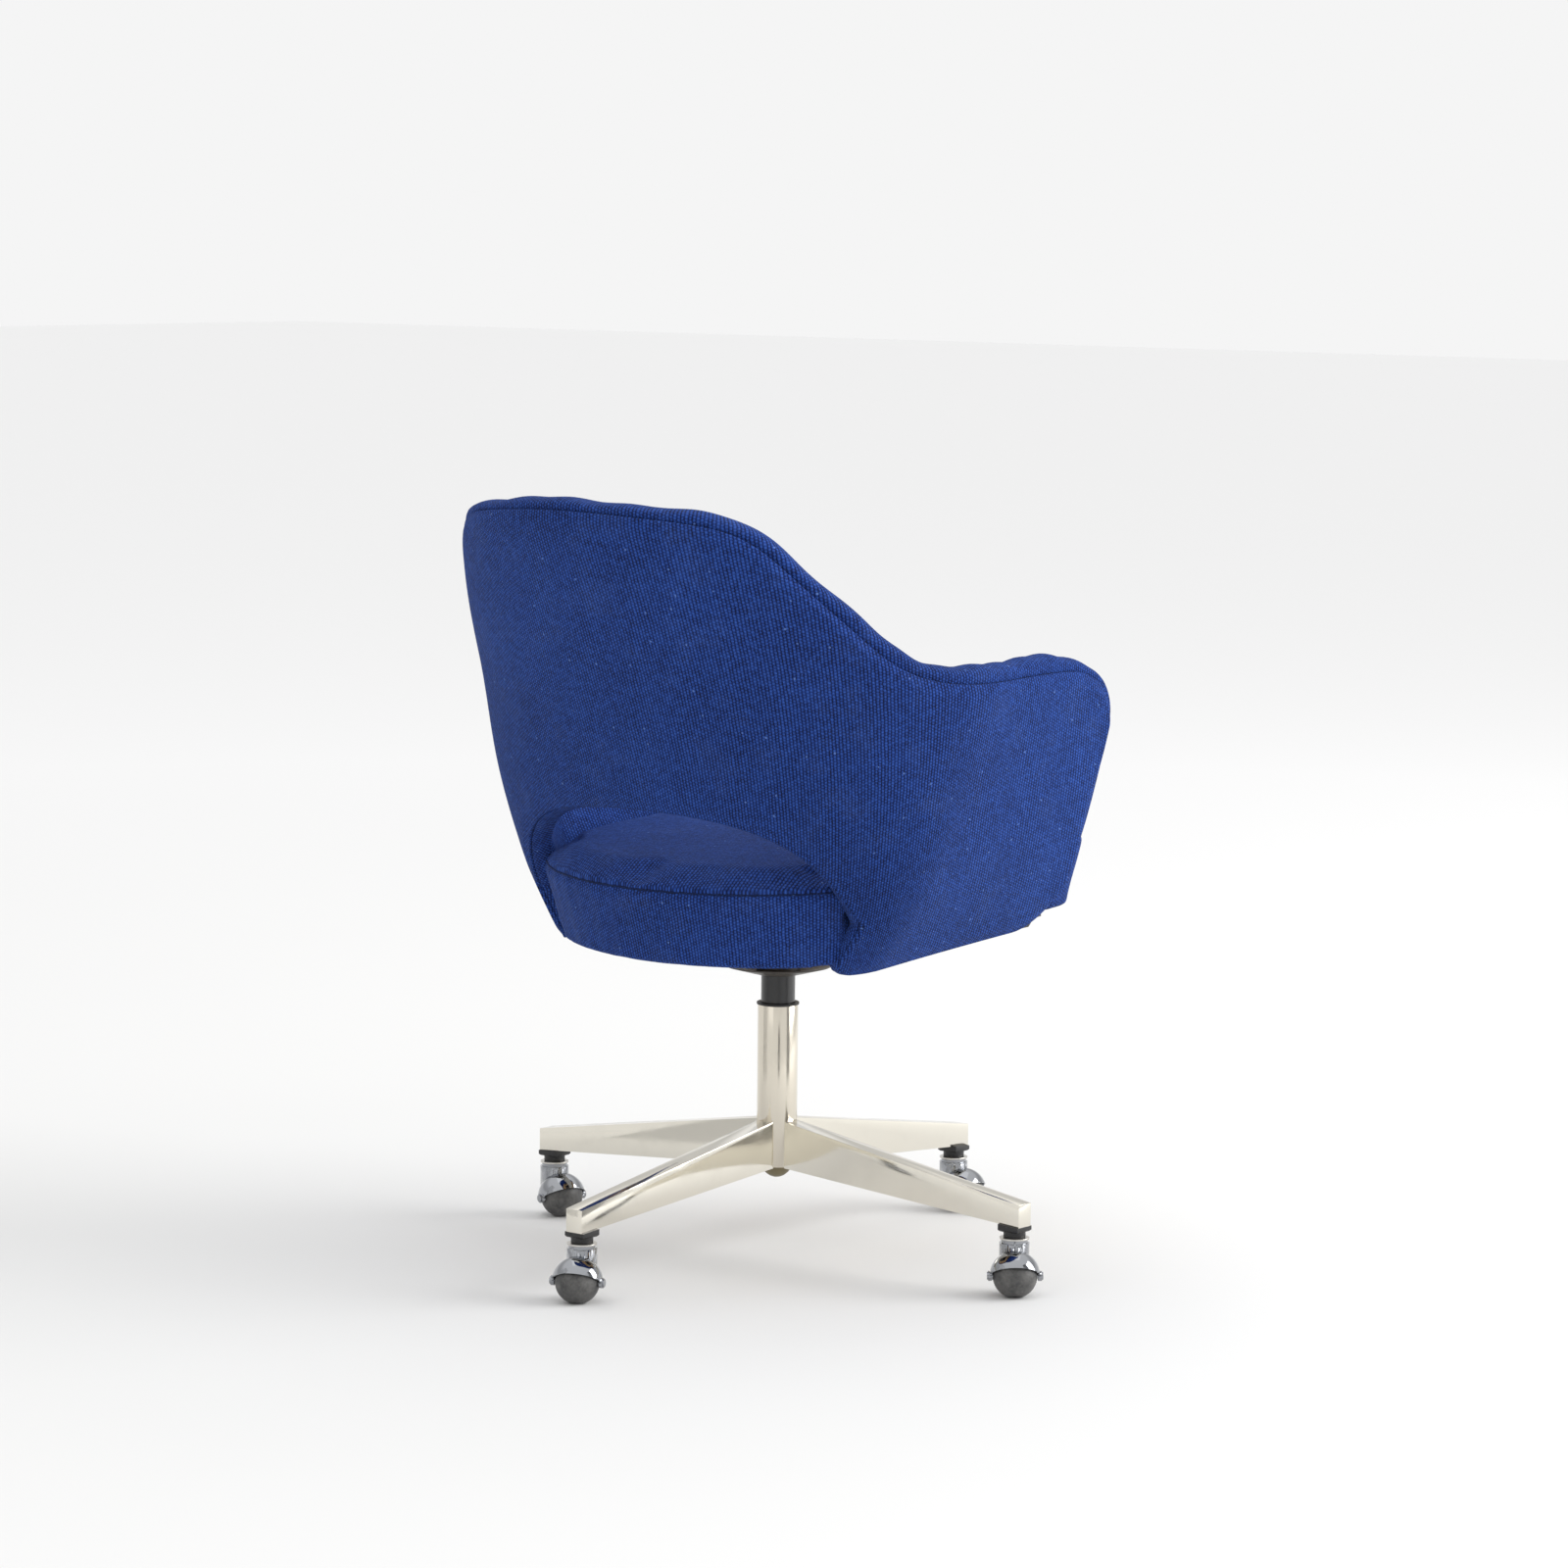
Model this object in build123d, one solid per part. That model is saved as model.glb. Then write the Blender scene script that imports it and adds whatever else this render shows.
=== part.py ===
from build123d import *
import os
from math import sqrt

# Upholstered swivel armchair on a four-arm caster base. Millimetres, +Z up, the floor is z = 0
# and the column axis is x = y = 0. The sitter faces -Y.

# ---- base frame ----
column_outer = 45.0
column_wall = 2.0
column_bottom = 100.0
column_top = 281.5
arm_count = 4
arm_reach = 344.0
arm_width = 22.0
arm_wall = 2.0
arm_root_bottom = 100.5
arm_root_top = 154.7
arm_tip_bottom = 74.6
arm_tip_top = 99.8
cap_plug_height = 4.0
cap_dish_diameter = 36.0
cap_dish_depth = 14.0

# ---- casters ----
stem_from_arm_end = 13.3
stem_radius_from_column = arm_reach - stem_from_arm_end
wheel_diameter = 48.2
tread_width = 14.0
caster_trail = 17.1
trail_directions = (161.0, 115.0, 130.0, 170.0)
stem_diameter = 11.0
stem_top_gap = 1.0
socket_square = 26.2
socket_flange = 6.0
socket_chamfer = 1.6
socket_boss_diameter = 24.0
socket_boss_length = 6.0
socket_sleeve_diameter = 16.0
socket_sleeve_top_gap = 1.0
ring_diameter = 32.5
ring_thickness = 2.0
ring_gap = 0.3
hood_gap = 1.5
hood_wall = 1.8
hood_rim_tilt = 30.0
hood_floor_gap = 16.0
neck_diameter = 29.0
neck_length = 4.0
housing_diameter = 32.8
ear_diameter = 11.0
ear_stand_out = 1.6
axle_diameter = 6.0
axle_head_diameter = 8.5
axle_head_thickness = 1.3
wheel_side_gap = 0.4

# ---- running fits ----
running_gap = 0.05

# ---- height column ----
spindle_diameter = 38.0
spindle_wall = 3.0
spindle_bottom = 135.0
spindle_top = 318.0
bush_length = 30.0
bush_flange_diameter = 47.5
bush_flange_thickness = 2.5
guide_length = 15.0
pin_diameter = 20.0
pin_plug_length = 20.0
washer_thickness = 2.0
hub_diameter = 46.0
hub_bearing_length = 30.0
retainer_diameter = 27.0
retainer_thickness = 1.7
retainer_gap = 0.2
dish_diameter = 118.0
dish_height = 11.0
dish_wall = 1.5
dish_neck_gap = 0.8

# ---- seat ----
seat_base = 366.0
seat_tilt = 4.0
flange_thickness = 5.0
flange_inner_half_width = 145.0
plate_size = 200.0
plate_thickness = 4.0
plate_corner = 22.0
plate_screw_spread = 80.0
screw_diameter = 6.0
screw_head_diameter = 12.0
screw_head_height = 2.6
screw_depth = 9.0
shell_screw_rows = (-110.0, 0.0, 100.0)
shell_screw_half_spread = 163.0
pan_thickness = 12.0
pan_half_width = 180.0
pan_rear = 200.0
pan_front = -252.0
pan_middle = 60.0
pan_corner = 40.0
cushion_skirt_bottom = 5.0
cushion_low_half_width = 212.0
cushion_low_front_half_width = 194.0
cushion_low_rear = 226.0
cushion_low_front = -272.0
cushion_half_width = 238.0
cushion_front_half_width = 230.0
cushion_rear = 249.0
cushion_front = -286.0
cushion_middle = 80.0
cushion_corner = 46.0
cushion_height = 100.0
cushion_crown_radius = 15.0
wall_gap = 0.4

# ---- shell: (height, half width, rear reach, where the sides turn into the rear curve) ----
shell_levels = (
    (335.0, 210.0, 189.0, 98.0),
    (375.0, 236.0, 204.0, 95.0),
    (428.0, 268.0, 224.0, 90.0),
    (513.0, 301.0, 251.0, 80.0),
    (665.0, 338.0, 306.0, 39.0),
    (836.0, 356.0, 382.0, -33.0),
    (900.0, 356.0, 405.0, -54.0),
)
arm_flare = 18.0
arm_front = -156.0
# side view of the top edge from the arm front to the back, (y, z)
top_edge = (
    (arm_front, 620.0),
    (-119.0, 660.0),
    (-62.0, 669.0),
    (75.0, 665.0),
    (163.0, 682.0),
    (215.0, 725.0),
    (272.0, 784.0),
    (321.0, 828.0),
    (380.0, 845.0),
    (440.0, 860.0),
)
cover_thickness = 8.0
shell_thickness = 6.0
wall_thickness = 44.0
shell_inset = 12.0
pad_crown = 13.0
pad_lead = 6.0

# ---- rear arch ----
arch_half_width = 235.5
arch_inner_half_width = 204.0
arch_top = 524.0
arch_foot = 375.0
arch_fullness = 0.74
arch_start = 144.0
arch_inner_start = 62.0

# ---- corner clip ----
clip_width = 14.0
clip_length = 42.0
clip_thickness = 1.5
clip_drop = 8.0
clip_x = -164.0
clip_y = -206.0

os.makedirs("parts", exist_ok=True)


def save(shape, name):
    shape.label = name
    export_step(shape, f"parts/{name}.step")


def tube(outer, inner, low, high):
    body = Cylinder(outer / 2, high - low, align=(Align.CENTER, Align.CENTER, Align.MIN))
    if inner > 0:
        bore = Cylinder(inner / 2, high - low + 2, align=(Align.CENTER, Align.CENTER, Align.MIN))
        body = body - Pos(0, 0, -1) * bore
    return Pos(0, 0, low) * body


# ================= base frame =================
column_bore = column_outer - 2 * column_wall
save(tube(column_outer, column_bore, column_bottom, column_top), "column_tube")

cap_edge = cap_dish_diameter / 2
cap_ball = (cap_edge**2 + cap_dish_depth**2) / (2 * cap_dish_depth)
cap_low = column_bottom - cap_dish_depth
cap_flat = cap_edge / 5
cap_mid = cap_low + cap_ball - sqrt(cap_ball**2 - (cap_edge / 2) ** 2)
cap_curve = ThreePointArc((cap_flat, 0, cap_low), (cap_edge / 2, 0, cap_mid), (cap_edge, 0, column_bottom))
cap_rest = Polyline(
    (cap_edge, 0, column_bottom),
    (column_bore / 2, 0, column_bottom),
    (column_bore / 2, 0, column_bottom + cap_plug_height),
    (0, 0, column_bottom + cap_plug_height),
    (0, 0, cap_low),
    (cap_flat, 0, cap_low),
)
cap_face = Face(Wire([*cap_curve.edges(), *cap_rest.edges()]))
save(revolve(cap_face, Axis.Z), "base_cap")


def arm_profile(shrink, reach, root):
    """Side outline of an arm, drawn in for the hollow inside it."""
    return Polyline(
        (root, arm_root_bottom + shrink),
        (reach, arm_tip_bottom + shrink),
        (reach, arm_tip_top - shrink),
        (root, arm_root_top - shrink),
        close=True,
    )


def arm_block(width, shrink, reach, root):
    face = make_face(Plane.XZ * arm_profile(shrink, reach, root))
    return extrude(face, width / 2, both=True)


stem_zone = tube(socket_sleeve_diameter, 0, arm_tip_bottom - 5, arm_tip_bottom + 5)
outer_block = arm_block(arm_width, 0, arm_reach, 0)
inner_block = arm_block(arm_width - 2 * arm_wall, arm_wall, arm_reach - arm_wall, -5)
arm_shape = outer_block - inner_block
arm_shape = arm_shape - tube(column_outer, 0, 0, arm_root_top + 50)
arm_shape = arm_shape - Pos(stem_radius_from_column, 0, 0) * stem_zone

# casters hang below the arm tips; the socket's sleeve stops under the arm's top wall
arm_slope = (arm_tip_top - arm_root_top) / arm_reach
sleeve_edge = stem_radius_from_column + socket_sleeve_diameter / 2
arm_inside_top = arm_root_top + arm_slope * sleeve_edge - arm_wall
sleeve_top = arm_inside_top - socket_sleeve_top_gap
floor_slope = (arm_tip_bottom - arm_root_bottom) / arm_reach
socket_low = arm_tip_bottom - socket_flange
boss_low = socket_low - socket_boss_length
flange_block = Box(socket_square, socket_square, socket_flange + 6, align=(Align.CENTER, Align.CENTER, Align.MIN))
flange_block = chamfer(flange_block.faces().sort_by(Axis.Z)[0].edges(), socket_chamfer)
flange_block = Pos(stem_radius_from_column, 0, socket_low) * flange_block
under_arm = Polyline(
    (0, 0),
    (0, arm_root_bottom),
    (arm_reach, arm_tip_bottom),
    (arm_reach + 40, arm_tip_bottom + floor_slope * 40),
    (arm_reach + 40, 0),
    close=True,
)
under_arm_block = extrude(make_face(Plane.XZ * under_arm), 60, both=True)
flange_block = flange_block & under_arm_block
socket = flange_block + Pos(stem_radius_from_column, 0, 0) * (
    tube(socket_boss_diameter, 0, boss_low, socket_low + 1)
    + tube(socket_sleeve_diameter, 0, socket_low + 1, sleeve_top)
)
stem_top = sleeve_top - 2 * stem_top_gap
socket_bore = tube(stem_diameter + 2 * running_gap, 0, boss_low - 1, stem_top + stem_top_gap)
socket = socket - Pos(stem_radius_from_column, 0, 0) * socket_bore

# ================= casters =================
wheel_radius = wheel_diameter / 2
wheel_height = sqrt(wheel_radius**2 - (tread_width / 2) ** 2)
ring_top = boss_low - ring_gap
ring_low = ring_top - ring_thickness
housing_top = ring_low - neck_length
hood_inner = wheel_radius + hood_gap
hood_outer = hood_inner + hood_wall
wheel_half_width = hood_inner - hood_wall - wheel_side_gap

# The caster is drawn with its stem on the Z axis and its wheel trailing towards +X.
centre = Pos(caster_trail, 0, wheel_height)
across = Rot(90, 0, 0)

wheel = Sphere(wheel_radius)
tread = Rot(90, 0, 0) * Cylinder(wheel_height, 3 * wheel_radius)
wheel = wheel & tread
wheel = wheel - across * Cylinder(axle_diameter / 2 + running_gap, 3 * wheel_radius)
wheel = centre * wheel

ear_reach = hood_outer + ear_stand_out
ear_block = across * Cylinder(ear_diameter / 2, 2 * ear_reach)
keep_above = centre * Rot(0, -hood_rim_tilt, 0) * Pos(0, 0, 50) * Box(200, 200, 100)
floor_trim = Pos(0, 0, hood_floor_gap + 50) * Box(200, 200, 100)
dome = centre * across * Sphere(hood_outer) + tube(housing_diameter, 0, hood_floor_gap, housing_top)
dome = dome + tube(neck_diameter, 0, housing_top, ring_low)
dome = (dome & keep_above) & floor_trim
hood = dome + centre * ear_block
hood = hood - centre * across * Sphere(hood_inner)
hood = hood - centre * across * Cylinder(axle_diameter / 2, 4 * wheel_radius)
stem_low = wheel_height + sqrt(hood_inner**2 - (caster_trail - stem_diameter / 2) ** 2) + 1.5
hood = hood - tube(stem_diameter, 0, stem_low, 200)

ring = tube(ring_diameter, stem_diameter, ring_low, ring_top)
stem = tube(stem_diameter, 0, stem_low, stem_top)
axle = across * Cylinder(axle_diameter / 2, 2 * ear_reach)
for side in (-1, 1):
    head = Cylinder(axle_head_diameter / 2, axle_head_thickness)
    axle = axle + across * Pos(0, 0, side * (ear_reach + axle_head_thickness / 2)) * head
axle = centre * axle

for number in range(arm_count):
    turn = Rot(0, 0, 360 / arm_count * number)
    tag = number + 1
    save(turn * arm_shape, f"base_arm_{tag}")
    save(turn * socket, f"caster_socket_{tag}")
    place = turn * Pos(stem_radius_from_column, 0, 0)
    place = place * Rot(0, 0, trail_directions[number] - 360 / arm_count * number)
    save(place * stem, f"caster_stem_{tag}")
    save(place * ring, f"caster_ring_{tag}")
    save(place * hood, f"caster_hood_{tag}")
    save(place * axle, f"caster_axle_{tag}")
    save(place * wheel, f"caster_wheel_{tag}")

# ================= height column =================
bush_bore = spindle_diameter + 2 * running_gap
bush = tube(column_bore, 0, column_top - bush_length, column_top)
bush = bush + tube(bush_flange_diameter, 0, column_top, column_top + bush_flange_thickness)
bush = bush - tube(bush_bore, 0, column_top - bush_length - 1, column_top + bush_flange_thickness + 1)
save(bush, "column_bush")

spindle_bore = spindle_diameter - 2 * spindle_wall
save(tube(spindle_diameter, spindle_bore, spindle_bottom, spindle_top), "spindle_tube")
guide = tube(column_bore - 2 * running_gap, spindle_diameter, spindle_bottom, spindle_bottom + guide_length)
save(guide, "spindle_guide")

hub_low = spindle_top + washer_thickness
bearing_top = hub_low + hub_bearing_length
retainer_low = bearing_top + retainer_gap
pin_top = retainer_low + retainer_thickness + 1.5
pin = tube(spindle_bore, 0, spindle_top - pin_plug_length, spindle_top)
pin = pin + tube(pin_diameter, 0, spindle_top, pin_top)
save(pin, "pivot_pin")
save(tube(spindle_diameter, pin_diameter + 1, spindle_top, hub_low), "thrust_washer")
save(tube(retainer_diameter, pin_diameter, retainer_low, retainer_low + retainer_thickness), "retaining_ring")

# ================= seat =================
tilted = Location((0, 0, seat_base), (-seat_tilt, 0, 0))


def layer(low, high):
    """A wide slab between two heights above the seat's own base plane."""
    slab = Box(1400, 1400, high - low, align=(Align.CENTER, Align.CENTER, Align.MIN))
    return tilted * Pos(0, 0, low) * slab


plate_low = flange_thickness - plate_thickness
below_plate = layer(-400, plate_low)
hub = tube(hub_diameter, 0, hub_low, seat_base + 20) & below_plate
hub = hub - tube(pin_diameter + 2 * running_gap, 0, hub_low - 1, bearing_top + 1)
hub = hub - tube(retainer_diameter + 4, 0, bearing_top, pin_top + 1.5)
save(hub, "swivel_hub")

dish_low = spindle_top - dish_height / 4
dish_neck = spindle_diameter / 2 + dish_neck_gap
dish_outline = Polyline(
    (dish_neck, dish_low),
    (dish_neck + 3, dish_low),
    (dish_diameter / 2, dish_low + dish_height - dish_wall),
    (dish_diameter / 2, dish_low + dish_height),
    (dish_neck + 5, dish_low + 2 * dish_wall),
    (hub_diameter / 2 + 1, hub_low + 6),
    (hub_diameter / 2, hub_low + 6),
    (hub_diameter / 2, hub_low),
    (dish_neck, hub_low),
    close=True,
)
hub_dish = revolve(make_face(Plane.XZ * dish_outline), Axis.Z)
save(hub_dish, "hub_dish")

screw_spots = []
for sx in (-1, 1):
    for sy in (-1, 1):
        screw_spots.append((sx * plate_screw_spread, sy * plate_screw_spread))
shell_spots = []
for sx in (-1, 1):
    for row in shell_screw_rows:
        shell_spots.append((sx * shell_screw_half_spread, row))


def screws(spots, seat_height, depth):
    """Pan-head screws standing up into the pan, heads below the plane they clamp."""
    made = []
    for x, y in spots:
        shank = Cylinder(screw_diameter / 2, depth, align=(Align.CENTER, Align.CENTER, Align.MIN))
        head = Cylinder(screw_head_diameter / 2, screw_head_height, align=(Align.CENTER, Align.CENTER, Align.MAX))
        head = fillet(head.faces().sort_by(Axis.Z)[0].edges(), screw_head_height * 0.6)
        made.append(tilted * Pos(x, y, seat_height) * (shank + head))
    return made


def holes(spots, seat_height, depth):
    cut = []
    for x, y in spots:
        hole = Cylinder(screw_diameter / 2, depth, align=(Align.CENTER, Align.CENTER, Align.MIN))
        cut.append(tilted * Pos(x, y, seat_height) * hole)
    return cut


plate_screws = screws(screw_spots, plate_low, plate_thickness + screw_depth)
shell_screws = screws(shell_spots, 0, flange_thickness + screw_depth)
plate_holes = holes(screw_spots, plate_low - 1, plate_thickness + screw_depth + 1)
shell_holes = holes(shell_spots, -1, flange_thickness + screw_depth + 1)

plate = extrude(RectangleRounded(plate_size, plate_size, plate_corner), plate_thickness)
plate = tilted * Pos(0, 0, plate_low) * plate
for hole in plate_holes:
    plate = plate - hole
save(plate, "seat_plate")
save(Compound(children=plate_screws), "plate_screws")


def seat_plan(half, front_half, rear, middle, front, corner, height):
    """Seat outline: half ellipse behind, straight sides, rounded front corners."""
    curve = EllipticalCenterArc((0, middle), half, rear - middle, start_angle=0, arc_size=180)
    sides = Polyline((-half, middle), (-front_half, front), (front_half, front), (half, middle))
    face = make_face(curve + sides)
    face = fillet(face.vertices().sort_by(Axis.Y)[:2], corner)
    return Pos(0, 0, height) * face


pan = extrude(seat_plan(pan_half_width, pan_half_width, pan_rear, pan_middle, pan_front, pan_corner, 0), pan_thickness)
pan = tilted * Pos(0, 0, flange_thickness) * pan
for hole in plate_holes + shell_holes:
    pan = pan - hole
save(pan, "seat_pan")


# ================= shell =================
def bowl(inset):
    """The chair's closed outer form, drawn in all round by the given distance."""
    sections = []
    front = arm_front - 60 - inset
    for height, half, rear, middle in shell_levels:
        side = half - inset
        curve = EllipticalCenterArc((0, middle, height), side, rear - inset - middle, start_angle=0, arc_size=180)
        knee = (middle + front) / 2
        left = Bezier((-side, middle, height), (-side, knee, height), (-side - arm_flare, front, height))
        nose = Line((-side - arm_flare, front, height), (side + arm_flare, front, height))
        right = Bezier((side + arm_flare, front, height), (side, knee, height), (side, middle, height))
        sections.append(make_face(Wire([*curve.edges(), *left.edges(), *nose.edges(), *right.edges()])))
    return loft(sections)


def side_profile(back, up, foot):
    """Everything kept by the top and front edges, shifted back and up."""
    points = [(y + back, z + up) for y, z in top_edge]
    side = -1.2 * shell_levels[-1][1]
    edge = Spline(*[(side, y, z) for y, z in points])
    low = seat_base - 80
    rest = Polyline(
        (side, points[-1][0], points[-1][1]),
        (side, points[-1][0] + 60, points[-1][1]),
        (side, points[-1][0] + 60, low),
        (side, points[0][0], low),
        (side, points[0][0], points[0][1]),
    )
    face = Face(Wire([*edge.edges(), *rest.edges()]))
    return extrude(face, -2 * side, dir=(1, 0, 0)) & layer(foot, 900)


def arch_block(half, top, start, end):
    """Rear opening below the backrest, cut along Y."""
    rise = top - arch_foot
    pull = arch_fullness
    left = Bezier(
        (-half, start, arch_foot),
        (-half, start, arch_foot + pull * rise),
        (-pull * half, start, top),
        (0, start, top),
    )
    right = Bezier(
        (0, start, top),
        (pull * half, start, top),
        (half, start, arch_foot + pull * rise),
        (half, start, arch_foot),
    )
    low = seat_base - 100
    base = Polyline((half, start, arch_foot), (half, start, low), (-half, start, low), (-half, start, arch_foot))
    face = Face(Wire([*left.edges(), *right.edges(), *base.edges()]))
    return extrude(face, end - start, dir=(0, 1, 0))


def arch_cut(grow):
    outer = arch_block(arch_half_width + grow, arch_top + grow, arch_start - grow, 600)
    inner = arch_block(arch_inner_half_width + grow, arch_top + grow, arch_inner_start - grow, 600)
    return outer + inner


outer_form = bowl(0)
shell_form = bowl(cover_thickness)
pad_form = bowl(cover_thickness + shell_thickness)
room_form = bowl(wall_thickness)
cover_side = side_profile(0, 0, 0)
shell_side = side_profile(shell_inset, -shell_inset, 0)
pad_side = side_profile(-pad_lead, pad_crown, flange_thickness + pan_thickness)
rim_side = side_profile(0, 0, flange_thickness + pan_thickness)
arch = arch_cut(0)

back_cover = (outer_form & cover_side) - shell_form - arch
save(back_cover, "back_cover")

moulded_shell = (shell_form & shell_side) - pad_form - arch_cut(shell_inset - cover_thickness)
foot_strip = (pad_form & layer(0, flange_thickness)) & side_profile(shell_inset, -shell_inset, 0)
foot_gap = Box(2 * flange_inner_half_width, 1400, 400)
foot_strip = foot_strip - Pos(0, 0, seat_base) * foot_gap - arch_cut(shell_inset - cover_thickness)
moulded_shell = moulded_shell + foot_strip
for hole in shell_holes:
    moulded_shell = moulded_shell - hole
save(moulded_shell, "moulded_shell")
save(Compound(children=shell_screws), "shell_screws")

inner_pad = (pad_form & pad_side) + (shell_form & rim_side)
inner_pad = inner_pad - moulded_shell - room_form - arch
save(inner_pad, "inner_pad")

# ================= cushion =================
low_plan = seat_plan(
    cushion_low_half_width,
    cushion_low_front_half_width,
    cushion_low_rear,
    cushion_middle,
    cushion_low_front,
    cushion_corner,
    cushion_skirt_bottom,
)
high_plan = seat_plan(
    cushion_half_width,
    cushion_front_half_width,
    cushion_rear,
    cushion_middle,
    cushion_front,
    cushion_corner,
    cushion_height,
)
cushion = loft([low_plan, high_plan])
cushion = fillet(cushion.faces().sort_by(Axis.Z)[-1].edges(), cushion_crown_radius)
cushion = tilted * cushion
pan_room = extrude(
    seat_plan(pan_half_width, pan_half_width, pan_rear, pan_middle, pan_front, pan_corner, 0), flange_thickness + pan_thickness
)
walls = (bowl(-3) & side_profile(-pad_lead - wall_gap, pad_crown, -20)) - bowl(wall_thickness + wall_gap)
walls = walls - arch_cut(-wall_gap)
cushion = cushion - tilted * pan_room - walls
save(cushion, "seat_cushion")

# ================= corner clip =================
clip_outline = Polyline(
    (0, 0),
    (0, -clip_thickness),
    (-clip_length + clip_thickness, -clip_thickness),
    (-clip_length + clip_thickness, -clip_drop),
    (-clip_length, -clip_drop),
    (-clip_length, 0),
    close=True,
)
clip = extrude(make_face(Plane.XZ * clip_outline), clip_width / 2, both=True)
save(tilted * Pos(clip_x, clip_y, flange_thickness) * clip, "corner_clip")
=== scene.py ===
import math

import bmesh
import bpy
import numpy as np
from mathutils import Matrix, Vector
from mathutils.bvhtree import BVHTree


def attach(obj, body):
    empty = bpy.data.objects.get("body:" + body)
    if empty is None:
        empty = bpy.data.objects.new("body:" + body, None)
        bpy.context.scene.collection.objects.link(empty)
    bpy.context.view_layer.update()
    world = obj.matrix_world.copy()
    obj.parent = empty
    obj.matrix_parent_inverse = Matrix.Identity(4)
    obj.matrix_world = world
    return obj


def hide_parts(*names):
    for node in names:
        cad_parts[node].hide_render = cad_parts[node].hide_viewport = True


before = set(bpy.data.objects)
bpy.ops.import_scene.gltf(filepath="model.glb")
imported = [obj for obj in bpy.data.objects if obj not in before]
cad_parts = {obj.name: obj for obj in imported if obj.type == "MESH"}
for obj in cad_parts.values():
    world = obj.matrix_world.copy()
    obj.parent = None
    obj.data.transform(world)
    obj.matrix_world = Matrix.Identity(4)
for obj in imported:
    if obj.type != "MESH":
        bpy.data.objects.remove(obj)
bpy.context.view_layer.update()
print("frame loaded:", len(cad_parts), "nodes")

# Metres, +Z up, the column stands on x = y = 0 and the sitter faces -Y.
# Outer form of the upholstered shell: height, half width, rear reach,
# where the sides turn into the back
shell = {
    "levels": (
        (0.335, 0.210, 0.189, 0.098),
        (0.375, 0.236, 0.204, 0.095),
        (0.428, 0.268, 0.224, 0.090),
        (0.513, 0.301, 0.251, 0.080),
        (0.665, 0.338, 0.306, 0.039),
        (0.836, 0.359, 0.382, -0.033),
        (0.900, 0.361, 0.405, -0.054),
    ),
    "topEdge": (  # side view of the top edge, (y, z)
        (-0.1565, 0.575),
        (-0.1565, 0.605),
        (-0.1535, 0.624),
        (-0.119, 0.660),
        (-0.062, 0.669),
        (0.075, 0.665),
        (0.163, 0.682),
        (0.215, 0.725),
        (0.272, 0.784),
        (0.321, 0.828),
        (0.380, 0.845),
        (0.440, 0.867),
    ),
    "armFront": -0.1565,
    "armFlare": 0.0177,
    "flareLead": 0.060,
    "seatBase": 0.366,
    "seatTilt": math.radians(4),
    "hemHeight": 0.3638,
    "hemTilt": math.radians(5.49),
    "archHalfWidth": 0.2355,
    "archTop": 0.524,
    "archFoot": 0.375,
    "archFullness": 0.74,
    "lipDepth": 0.1436,
    "cornerRadius": 0.045,
    "lipCorner": 0.016,
    "lipSweep": 4.0,  # how fast the weave lines swing clear of the lips
    "weaveSpan": (0.33, 0.90),
    "lipWay": 67,
    "shoulderWay": 56,
    "columnsPerSide": 150,
    "rows": 96,
    "rollIn": 0.004,
    "rollWidth": 0.006,
}
cover = {"outer": 0.0, "inner": 0.0075, "edgeRise": 0.0015, "hemRise": 0.002, "edgeRows": 4}
pad = {
    "outer": 0.0085,
    "inner": 0.044,
    "hemInner": 0.028,
    "crown": 0.0135,
    "slopeCrown": 0.0060,
    "hemRise": 0.004,
    "plump": 0.13,
    "edgeRows": 18,
}


# curves of the shell
def splineThrough(knots, values):
    # natural cubic through the knots
    knots = np.asarray(knots, float)
    values = np.asarray(values, float)
    steps = np.diff(knots)
    count = len(knots)
    system = np.eye(count)
    right = np.zeros((count, values.shape[1]))
    for i in range(1, count - 1):
        system[i, i - 1 : i + 2] = steps[i - 1], 2 * (steps[i - 1] + steps[i]), steps[i]
        ahead = (values[i + 1] - values[i]) / steps[i]
        slopes = ahead - (values[i] - values[i - 1]) / steps[i - 1]
        right[i] = 6 * slopes
    bend = np.linalg.solve(system, right)

    def at(where):
        where = np.asarray(where, float)
        spot = np.clip(np.searchsorted(knots, where) - 1, 0, count - 2)
        h = steps[spot][..., None]
        a = (knots[spot + 1] - where)[..., None]
        b = (where - knots[spot])[..., None]
        low, high = bend[spot], bend[spot + 1]
        cubic = low * a**3 / (6 * h) + high * b**3 / (6 * h)
        fromLow = (values[spot] / h - low * h / 6) * a
        return cubic + fromLow + (values[spot + 1] / h - high * h / 6) * b

    return at


levelTable = np.array(shell["levels"])
levelAt = splineThrough(levelTable[:, 0], levelTable[:, 1:])


def edgeSamples(points, count):
    points = np.array(points)
    chord = np.r_[0, np.cumsum(np.linalg.norm(np.diff(points, axis=0), axis=1))]
    return splineThrough(chord, points)(np.linspace(0, chord[-1], count))


topSamples = edgeSamples(shell["topEdge"], 2000)
turnStart = int(np.argmin(topSamples[:, 0]))
topSamples = topSamples[turnStart:]


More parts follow.
